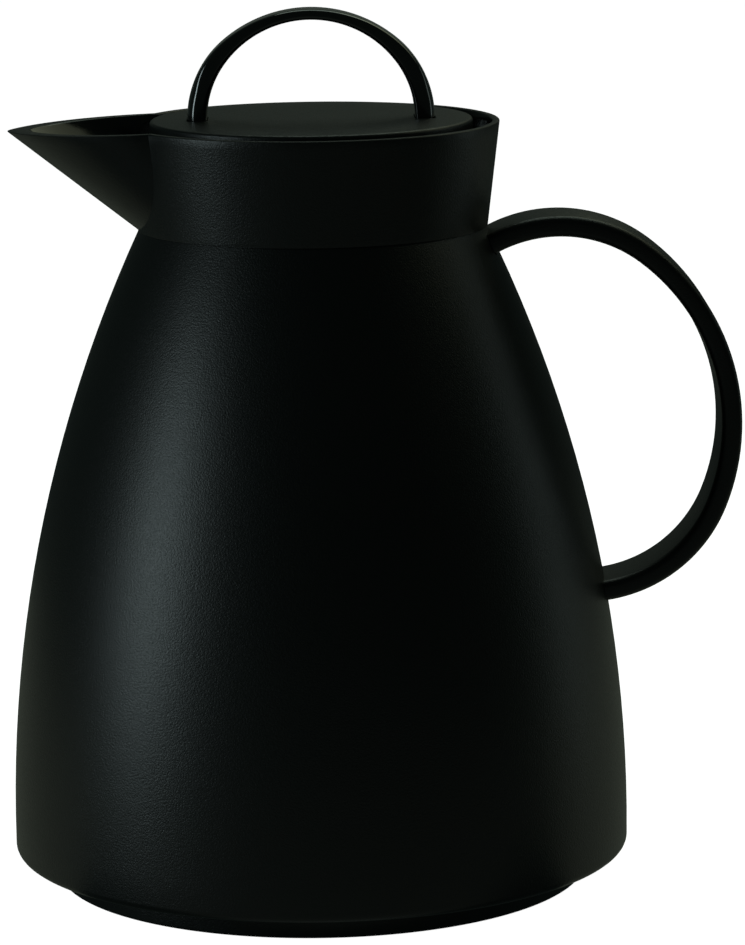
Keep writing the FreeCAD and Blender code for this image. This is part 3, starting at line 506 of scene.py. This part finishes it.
# Spout collar
# A cone that widens to the rim and runs out on one side into a long pointed spout, one moulding.
# Every line of the spout is straight, from the round root at the seam to the pointed mouth, and its inside
# is smooth so that it rinses clean.
smooth_polypropylene = moulded_plastic("smooth_black_polypropylene", "#060a09", "#0a0e0d", 0.13, 0.45, 0.002)
RIM_HEIGHT = 205.0
COLLAR_FOOT = 46.9
COLLAR_RIM = 50.3
COLLAR_WALL = 2.0
COLLAR_FLOOR = 2.8
SKIRT_DEPTH = 8.0
SKIRT_WALL = 2.0
SKIRT_GAP = 0.3
SPOUT_REACH = 81.2
SPOUT_PIVOT = 40.0
SPOUT_DROP = math.radians(2.0)
SPOUT_TIP = 8.0
SPOUT_SIDE = 39.0
SPOUT_HALF_WIDTH = 26.6
SPOUT_ROOT = 26.0
SPOUT_WALL = 1.9
SPOUT_LAND = 5.5
SPOUT_TAIL = 10.0
JOINT_SINE = (SPOUT_SIDE - SPOUT_HALF_WIDTH) / (SPOUT_SIDE - SPOUT_TIP)
JOINT_ANGLE = 90 - math.degrees(math.asin(JOINT_SINE))
FOOT_EDGE = 0.1
RIM_EDGE = 0.45


def spout_point(along, level, wall, land, foot):
    """A point on the spout's surface. Along runs from the tail (negative, millimetres) over the side to the
    keel (degrees, 90 at the keel); level is the share of the way from the foot to the mouth."""
    angle = math.radians(90 + max(0, along))
    tail = -min(0, along)
    reach = COLLAR_FOOT + (SPOUT_REACH - COLLAR_FOOT) / (RIM_HEIGHT - SEAM_HEIGHT) * (foot - SEAM_HEIGHT)
    root_radius = SPOUT_ROOT - wall
    root = Vector((root_radius + land - reach + tail + root_radius * math.cos(angle),
                   root_radius * math.sin(angle), foot))
    tip_centre = SPOUT_REACH - SPOUT_PIVOT - SPOUT_TIP - land + wall
    if along > JOINT_ANGLE:
        run, width = -tip_centre + (SPOUT_TIP - wall) * math.cos(angle), (SPOUT_TIP - wall) * math.sin(angle)
    else:
        side = SPOUT_SIDE - wall
        side_run = (SPOUT_SIDE - SPOUT_TIP) * math.sin(math.radians(JOINT_ANGLE))
        run = side_run - tip_centre + tail + side * math.cos(angle)
        width = SPOUT_HALF_WIDTH - SPOUT_SIDE + side * math.sin(angle)
    mouth = Vector((run * math.cos(SPOUT_DROP) - SPOUT_PIVOT, width, RIM_HEIGHT + run * math.sin(SPOUT_DROP)))
    return root.lerp(mouth, level)


def collar_row(level, foot, foot_radius, rim_radius, wall, land):
    """One closed loop of points round collar and spout at this share of the height, from the keel round the
    back and back to the keel. The crease between cone and spout is found by halving."""
    def outside(along):
        point = spout_point(along, level, wall, land, foot)
        share = (point.z - foot) / (RIM_HEIGHT - foot)
        return point.xy.length - (foot_radius + (rim_radius - foot_radius) * share)
    low, high = -SPOUT_TAIL, 90.0
    for _ in range(HALVINGS):
        middle = (low + high) / 2
        low, high = (low, middle) if outside(middle) > 0 else (middle, high)
    crease = spout_point(high, level, wall, land, foot)
    half = [spout_point(90 + (high - 90) * index / SPOUT_COLUMNS, level, wall, land, foot)
            for index in range(SPOUT_COLUMNS + 1)]
    radius, crease_angle = crease.xy.length, math.atan2(crease.y, crease.x)
    cone_height = foot + (RIM_HEIGHT - foot) * level
    for index in range(1, CONE_COLUMNS + 1):
        share = index / CONE_COLUMNS
        angle = crease_angle * (1 - share)
        cone_radius = foot_radius + (rim_radius - foot_radius) * level
        settle_share = min(1, index / SETTLE_COLUMNS)
        reach = radius + (cone_radius - radius) * settle_share
        height = crease.z + (cone_height - crease.z) * settle_share
        half.append(Vector((reach * math.cos(angle), reach * math.sin(angle), height)))
    return half + [Vector((point.x, -point.y, point.z)) for point in half[-2:0:-1]]


def circle_row(row, radius, height):
    """The same columns drawn in or out to a circle."""
    return [Vector((point.x, point.y, 0)).normalized() * radius + Vector((0, 0, height)) for point in row]


SPOUT_COLUMNS = 30
CONE_COLUMNS = 60
SETTLE_COLUMNS = 4
HALVINGS = 40
LEVELS = [(index / 16) ** 1.5 for index in range(17)]
outside_rows = [collar_row(level, SEAM_HEIGHT, COLLAR_FOOT, COLLAR_RIM, 0, 0) for level in LEVELS]
floor_height = SEAM_HEIGHT + COLLAR_FLOOR
bowl_foot = COLLAR_FOOT - COLLAR_WALL + (COLLAR_RIM - COLLAR_FOOT) * COLLAR_FLOOR / (RIM_HEIGHT - SEAM_HEIGHT)
inside_rows = [collar_row(level, floor_height, bowl_foot, COLLAR_RIM - COLLAR_WALL, SPOUT_WALL, SPOUT_LAND)
               for level in LEVELS]
hole = outer + FIT_GAP
skirt_radius = flank_radius(SEAM_HEIGHT, WALL) - SKIRT_GAP
foot_row = outside_rows[0]
rows = [circle_row(inside_rows[0], hole, floor_height), *inside_rows, *outside_rows[::-1],
        circle_row(foot_row, skirt_radius, SEAM_HEIGHT),
        circle_row(foot_row, skirt_radius, SEAM_HEIGHT - SKIRT_DEPTH),
        circle_row(foot_row, skirt_radius - SKIRT_WALL, SEAM_HEIGHT - SKIRT_DEPTH),
        circle_row(foot_row, skirt_radius - SKIRT_WALL, SEAM_HEIGHT),
        circle_row(foot_row, hole, SEAM_HEIGHT)]
rows.append(rows[0])


def pull_through(bm, rows):
    """Pulls a ring of edges through rows of points. Gives the edges of each row and the faces that lead on to
    the next one."""
    column = bm.verts.layers.int.new("column")
    first = bmesh.ops.create_circle(bm, segments=len(rows[0]), radius=1)["verts"]
    for index, vert in enumerate(first):
        vert[column] = index
        vert.co = rows[0][index] * MM
    rings, spans = [bm.edges[:]], []
    for row in rows[1:]:
        pulled = bmesh.ops.extrude_edge_only(bm, edges=rings[-1])["geom"]
        verts = [item for item in pulled if isinstance(item, bmesh.types.BMVert)]
        for vert in verts:
            vert.co = row[vert[column]] * MM
        rings.append([item for item in pulled if isinstance(item, bmesh.types.BMEdge)])
        spans.append({face for vert in verts for face in vert.link_faces})
    return rings, spans


bm = bmesh.new()
rings, spans = pull_through(bm, rows)
rim = len(LEVELS)
foot = rim + len(LEVELS)
for face in set().union(*spans[:rim]):
    face.material_index = 1
for edges, size in ((rings[rim] + rings[rim + 1], RIM_EDGE), (rings[foot], FOOT_EDGE)):
    bmesh.ops.bevel(bm, geom=edges, offset=size * MM, segments=3, profile=0.5, affect="EDGES", material=-1)
collar = settle("spout_collar", "collar_moulding", bm, matt_polypropylene)
collar.data.materials.append(smooth_polypropylene)

# Stopper
# A hollow plug filled with foam. The plate on top is welded to it, the cap below carries the sealing ring,
# and two ridges on its wall run in the thread of the throat.
STOPPER_RADIUS = 26.4
STOPPER_WALL = 2.2
STOPPER_FOOT = 172.3
STOPPER_FLOOR = 174.5
STOPPER_FLARE = 26.9
PLATE_HEIGHT = 201.3
PLATE_TOP = 203.5
PLATE_RADIUS = 40.45
CAP_BOSS = 9.8
CAP_RADIUS = 24.4
CAP_FLANGE = 169.3
CAP_FOOT = 166.8
CAP_SPIGOT = 22.0
MALE_CREST = 28.9
MALE_LAG = 45.0
bm = bmesh.new()
bore = STOPPER_RADIUS - STOPPER_WALL
wire(bm, [
    (CAP_BOSS + FIT_GAP, STOPPER_FOOT), (STOPPER_FLARE, STOPPER_FOOT), (STOPPER_FLARE, STOPPER_FLOOR),
    (STOPPER_RADIUS, STOPPER_FLOOR), (STOPPER_RADIUS, PLATE_HEIGHT), (bore, PLATE_HEIGHT),
    (bore, STOPPER_FLOOR), (CAP_BOSS + FIT_GAP, STOPPER_FLOOR),
])
turn(bm, INNER_STEPS)
male_start = FEMALE_START - THREAD_LEAD / 4 + THREAD_LEAD * MALE_LAG / 360
thread_ridges(bm, STOPPER_RADIUS - FIT_GAP, MALE_CREST, male_start, MALE_LAG)
settle("stopper_body", "stopper_plug", bm, satin_polypropylene)

foam = moulded_plastic("closed_cell_foam", "#d6d3c6", "#e6e4da", 0.85, 0.8, 0.15)
bm = bmesh.new()
wire(bm, [(0, STOPPER_FLOOR), (bore - FIT_GAP, STOPPER_FLOOR), (bore - FIT_GAP, PLATE_HEIGHT),
          (0, PLATE_HEIGHT)])
turn(bm, LINER_STEPS)
settle("stopper_foam", "foam_core", bm, foam)

bm = bmesh.new()
wire(bm, [
    (0, CAP_FOOT), (CAP_RADIUS - EDGE, CAP_FOOT, EDGE), (CAP_RADIUS, CAP_FOOT + EDGE),
    (CAP_RADIUS, CAP_FLANGE), (CAP_SPIGOT, CAP_FLANGE), (CAP_SPIGOT, STOPPER_FOOT), (CAP_BOSS, STOPPER_FOOT),
    (CAP_BOSS, STOPPER_FLOOR), (0, STOPPER_FLOOR),
])
turn(bm, INNER_STEPS)
settle("stopper_cap", "stopper_end_cap", bm, satin_polypropylene)

RING_IN, RING_OUT = 22.3, 26.9
RING_TOP = 172.0
RING_ROUND = 0.5
bm = bmesh.new()
wire(bm, [
    (RING_IN, SEAT_HEIGHT), (RING_OUT, SEAT_HEIGHT), (RING_OUT, RING_TOP - RING_ROUND, RING_ROUND),
    (RING_OUT - RING_ROUND, RING_TOP), (RING_IN, RING_TOP),
])
turn(bm, INNER_STEPS)
settle("stopper_seal", "stopper_ring", bm, silicone)

bm = bmesh.new()
wire(bm, [(0, PLATE_HEIGHT), (PLATE_RADIUS - EDGE, PLATE_HEIGHT, EDGE), (PLATE_RADIUS, PLATE_HEIGHT + EDGE),
          (PLATE_RADIUS, PLATE_TOP), (0, PLATE_TOP)])
turn(bm, INNER_STEPS)
settle("stopper_plate", "stopper_top_plate", bm, satin_polypropylene)

# Lid cover
# The round lid, a shallow dish with a slightly domed top and a soft edge, in the body's matt plastic.
# Two sockets in it take the feet of the loop.
LID_RADIUS = 43.1
LID_EDGE_HEIGHT = 205.7
LID_EDGE = 0.9
LID_DOME = 0.4
LID_FOOT = 200.4
LID_WALL = 2.5
LID_SKIN = 0.5
LEVEL = 0.9
LOOP_HALF_WIDTH = 33.0
LOOP_BORE_HALF_WIDTH = 27.6
LOOP_FOOT_REACH = (LOOP_HALF_WIDTH + LOOP_BORE_HALF_WIDTH) / 2
LOOP_DEPTH = 10.5
LOOP_SOCKET = 1.0
bm = bmesh.new()
dome_edge = LID_RADIUS - LID_EDGE
wire(bm, [
    (0, PLATE_TOP), (LID_RADIUS - LID_WALL, PLATE_TOP),
    (LID_RADIUS - LID_WALL, LID_FOOT), (LID_RADIUS, LID_FOOT),
    (LID_RADIUS, LID_EDGE_HEIGHT - LID_EDGE, LID_EDGE),
    (dome_edge, LID_EDGE_HEIGHT, (dome_edge ** 2 + LID_DOME ** 2) / (2 * LID_DOME)),
    (0, LID_EDGE_HEIGHT + LID_DOME),
])
turn(bm, OUTER_STEPS)
leg = LOOP_HALF_WIDTH - LOOP_BORE_HALF_WIDTH
for side in (-1, 1):
    top = [face for face in bm.faces if abs(face.normal.z) > LEVEL
           and face.calc_center_median().z > (LID_EDGE_HEIGHT - LID_SKIN) * MM
           and face.calc_center_median().x * side > 0]
    cut = top + list({edge for face in top for edge in face.edges})
    cut += list({vert for face in top for vert in face.verts})
    for normal, centre, reach in ((Vector((1, 0, 0)), side * LOOP_FOOT_REACH, leg),
                                  (Vector((0, 1, 0)), 0, LOOP_DEPTH)):
        for edge_side in (-1, 1):
            plane = normal * (centre + edge_side * (reach / 2 + FIT_GAP)) * MM
            cut = bmesh.ops.bisect_plane(bm, geom=cut, dist=MERGE, plane_co=plane, plane_no=normal)["geom"]
    socket = [face for face in cut if isinstance(face, bmesh.types.BMFace)
              and abs(face.calc_center_median().x / MM - side * LOOP_FOOT_REACH) < leg / 2 + FIT_GAP
              and abs(face.calc_center_median().y / MM) < LOOP_DEPTH / 2 + FIT_GAP]
    sunk = bmesh.ops.extrude_face_region(bm, geom=socket)["geom"]
    bmesh.ops.delete(bm, geom=socket, context="FACES")
    for vert in [item for item in sunk if isinstance(item, bmesh.types.BMVert)]:
        vert.co.z = (LID_EDGE_HEIGHT - LOOP_SOCKET) * MM
settle("lid_cover", "lid_disc", bm, matt_polypropylene)

# Loop screws
# Two pan-head screws, driven from below through the plate and the lid into the feet of the loop.
SCREW_RADIUS = 1.5
SCREW_LENGTH = 11.0
SCREW_HEAD = 3.0
SCREW_HEAD_HEIGHT = 2.0
SCREW_STEPS = 24
bm = bmesh.new()
wire(bm, [
    (0, PLATE_HEIGHT - SCREW_HEAD_HEIGHT), (SCREW_HEAD - EDGE, PLATE_HEIGHT - SCREW_HEAD_HEIGHT, EDGE),
    (SCREW_HEAD, PLATE_HEIGHT - SCREW_HEAD_HEIGHT + EDGE), (SCREW_HEAD, PLATE_HEIGHT),
    (SCREW_RADIUS, PLATE_HEIGHT), (SCREW_RADIUS, PLATE_HEIGHT + SCREW_LENGTH - EDGE),
    (SCREW_RADIUS - EDGE, PLATE_HEIGHT + SCREW_LENGTH), (0, PLATE_HEIGHT + SCREW_LENGTH),
])
turn(bm, SCREW_STEPS)
left = bmesh.ops.duplicate(bm, geom=bm.verts[:] + bm.edges[:] + bm.faces[:])["geom"]
left = [item for item in left if isinstance(item, bmesh.types.BMVert)]
right = list(set(bm.verts) - set(left))
bmesh.ops.translate(bm, vec=(-LOOP_FOOT_REACH * MM, 0, 0), verts=left)
bmesh.ops.translate(bm, vec=(LOOP_FOOT_REACH * MM, 0, 0), verts=right)
settle("loop_screws", "loop_pan_screws", bm, stainless)

# Loop
# The grip that turns the lid: an arch of bright black ABS, thinner at the top than at its feet.
# It is polished and flat in front, and its outer edge grows rounder towards the feet, where it shines.
gloss_abs = moulded_plastic("polished_black_abs", "#070707", "#0b0b0b", 0.16, 0.6, 0.0015)
lacquer = gloss_abs.node_tree.nodes["Principled BSDF"].inputs
lacquer["Coat Weight"].default_value = 1.0
lacquer["Coat Roughness"].default_value = 0.1
LOOP_SPRING = 205.9
LOOP_RISE, LOOP_SIDE = 29.2, 27.0
LOOP_BORE_RISE, LOOP_BORE_SIDE = 26.3, 25.0
LOOP_ROWS = 72
LOOP_COLUMNS = 48
FOOT_CROWN, ARCH_CROWN = 2.3, 6.0
CROWN_RUN = (0.25, 0.7)


def arch_point(half_width, rise, side, angle):
    """The point of an arch of three arcs where its outward normal has this angle, 0 at the right foot."""
    offset = half_width - side
    top = (offset ** 2 + rise ** 2 - side ** 2) / (2 * (rise - side))
    joint = math.atan2(top - rise, offset)
    if joint < angle < math.pi - joint:
        return Vector((top * math.cos(angle), 0, LOOP_SPRING + rise - top + top * math.sin(angle)))
    hand = math.copysign(1, math.pi / 2 - angle)
    return Vector((hand * offset + side * math.cos(angle), 0, LOOP_SPRING + side * math.sin(angle)))


def crowned(angle, outer_crown):
    """A point of the section as shares of its half thickness and depth. The inner side has small corners, the
    outer one is between an ellipse (2) and a rectangle."""
    crown = outer_crown if math.cos(angle) > 0 else ARCH_CROWN
    return [math.copysign(abs(part) ** (2 / crown), part) for part in (math.cos(angle), math.sin(angle))]


loop_rows = []
for step in [0, *range(LOOP_ROWS + 1), LOOP_ROWS]:
    angle = math.pi * step / LOOP_ROWS
    outer_point = arch_point(LOOP_HALF_WIDTH, LOOP_RISE, LOOP_SIDE, angle)
    inner_point = arch_point(LOOP_BORE_HALF_WIDTH, LOOP_BORE_RISE, LOOP_BORE_SIDE, angle)
    if not loop_rows or len(loop_rows) == LOOP_ROWS + 2:
        outer_point.z = inner_point.z = LID_EDGE_HEIGHT - LOOP_SOCKET
    middle, half = (outer_point + inner_point) / 2, (outer_point - inner_point) / 2
    lift = (math.sin(angle) - CROWN_RUN[0]) / (CROWN_RUN[1] - CROWN_RUN[0])
    lift = min(1, max(0, lift))
    crown = FOOT_CROWN + (ARCH_CROWN - FOOT_CROWN) * lift ** 2 * (3 - 2 * lift)
    shares = [crowned(2 * math.pi * index / LOOP_COLUMNS, crown) for index in range(LOOP_COLUMNS)]
    loop_rows.append([middle + half * thick + Vector((0, wide * LOOP_DEPTH / 2, 0))
                      for thick, wide in shares])
bm = bmesh.new()
pull_through(bm, loop_rows)
bmesh.ops.holes_fill(bm, edges=bm.edges[:], sides=0)
settle("lid_loop", "loop_arch", bm, gloss_abs)

# Floor, light and camera
# A white floor that glows a little, so it stays plain, and is clear from below. A tall softbox stands on the
# left and a strip on the right, two softboxes hang overhead, and pale cards on the floor and behind the
# carafe give the outline its thin light edge and the foot its grey.
FLOOR_GAP = 0.3
bm = bmesh.new()
bmesh.ops.create_grid(bm, x_segments=1, y_segments=1, size=4.0)
bmesh.ops.translate(bm, vec=(0, 0, -FLOOR_GAP * MM), verts=bm.verts)
mesh = bpy.data.meshes.new("studio_floor")
bm.to_mesh(mesh)
bm.free()
floor = bpy.data.objects.new("studio_floor", mesh)
bpy.context.collection.objects.link(floor)
paper = bpy.data.materials.new("white_paper")
paper.use_nodes = True
tree = paper.node_tree
shader = tree.nodes["Principled BSDF"]
below = add(tree, "ShaderNodeNewGeometry", {}).outputs["Backfacing"]
clear = add(tree, "ShaderNodeBsdfTransparent", {})
one_way = add(tree, "ShaderNodeMixShader", {0: below, 1: shader.outputs["BSDF"], 2: clear.outputs["BSDF"]})
tree.links.new(one_way.outputs["Shader"], tree.nodes["Material Output"].inputs["Surface"])
shader.inputs["Base Color"].default_value = linear("#f2f2f0")
shader.inputs["Roughness"].default_value = 0.9
shader.inputs["Emission Color"].default_value = linear("#ffffff")
shader.inputs["Emission Strength"].default_value = 1.0
floor.data.materials.append(paper)
floor.visible_glossy = False
floor.visible_diffuse = False

# The room is white to the eye and dark in the plastic, like a studio behind black flags
world = bpy.data.worlds.new("studio")
world.use_nodes = True
tree = world.node_tree
eye = add(tree, "ShaderNodeLightPath", {}).outputs["Is Camera Ray"]
ROOM_GLOW = 0.026
strength = add(tree, "ShaderNodeMapRange", {"Value": eye, "To Min": ROOM_GLOW, "To Max": 1.0})
tint = add(tree, "ShaderNodeMix", {"Factor": eye, "A": linear("#dcfff2"), "B": linear("#ffffff")},
           data_type="RGBA")
tree.links.new(strength.outputs["Result"], tree.nodes["Background"].inputs["Strength"])
tree.links.new(tint.outputs["Result"], tree.nodes["Background"].inputs["Color"])
bpy.context.scene.world = world


def softbox(name, place, target, width, height, brightness, colour):
    light = bpy.data.lights.new(name, "AREA")
    light.shape = "RECTANGLE"
    light.size, light.size_y = width, height
    light.energy = brightness * math.pi * width * height
    light.color = linear(colour)[:3]
    lamp = bpy.data.objects.new(name, light)
    lamp.location = place
    lamp.rotation_euler = (Vector(target) - Vector(place)).to_track_quat("-Z", "Y").to_euler()
    lamp.visible_camera = False
    bpy.context.collection.objects.link(lamp)


softbox("key_softbox", (-1.19, -0.455, 0.31), (0, 0, 0.10), 0.34, 0.66, 4.4, "#e6fdff")
softbox("right_strip", (1.13, 0.37, 0.25), (0, 0, 0.10), 0.25, 0.7, 0.5, "#e8fff8")
softbox("top_softbox", (0.1, 0.55, 1.25), (0, 0, 0.2), 0.8, 0.8, 0.9, "#e9ffef")
softbox("spout_softbox", (0.50, 0.44, 0.756), (-0.065, 0.012, 0.2), 1.06, 0.36, 0.48, "#f6ffd8")
softbox("rear_card", (0.05, 0.20, 0.004), (0.05, 0.20, 1), 1.0, 0.5, 0.12, "#f3ffe2")
softbox("front_card", (0.0, -0.62, 0.004), (0.0, -0.62, 1), 1.2, 0.66, 0.05, "#f3fff0")
softbox("near_card", (0.09, -0.185, 0.0005), (0.09, -0.185, 1), 0.6, 0.215, 0.06, "#f3fff0")
softbox("right_card", (0.67, 0.62, 0.004), (0.67, 0.62, 1), 0.5, 0.5, 0.09, "#f3ffe2")
softbox("back_wall", (0.0, 1.6, 0.40), (0, 0, 0.2), 1.0, 0.9, 0.034, "#f3ffe6")

# The camera stands where the fit to the picture's outlines put it, with its angles in radians
CAMERA_PLACE = Vector((-3.7056, -1210.86, 335.295)) * MM
PITCH, ROLL, YAW = 0.18443, 0.0128, 0.01558
across = Vector((math.cos(YAW), -math.sin(YAW), 0))
ahead = Vector((math.sin(YAW), math.cos(YAW), 0))
look = ahead * math.cos(PITCH) - Vector((0, 0, math.sin(PITCH)))
above = ahead * math.sin(PITCH) + Vector((0, 0, math.cos(PITCH)))
right_side = across * math.cos(ROLL) - above * math.sin(ROLL)
up_side = across * math.sin(ROLL) + above * math.cos(ROLL)
camera_data = bpy.data.cameras.new("studio_camera")
camera_data.sensor_fit = "VERTICAL"
camera_data.sensor_height = 36.0
camera_data.lens = 173.48
camera = bpy.data.objects.new("studio_camera", camera_data)
camera.matrix_world = Matrix((right_side, up_side, -look)).transposed().to_4x4()
camera.location = CAMERA_PLACE
bpy.context.collection.objects.link(camera)
bpy.context.scene.camera = camera
bpy.context.scene.view_settings.view_transform = "Standard"

bpy.context.view_layer.update()
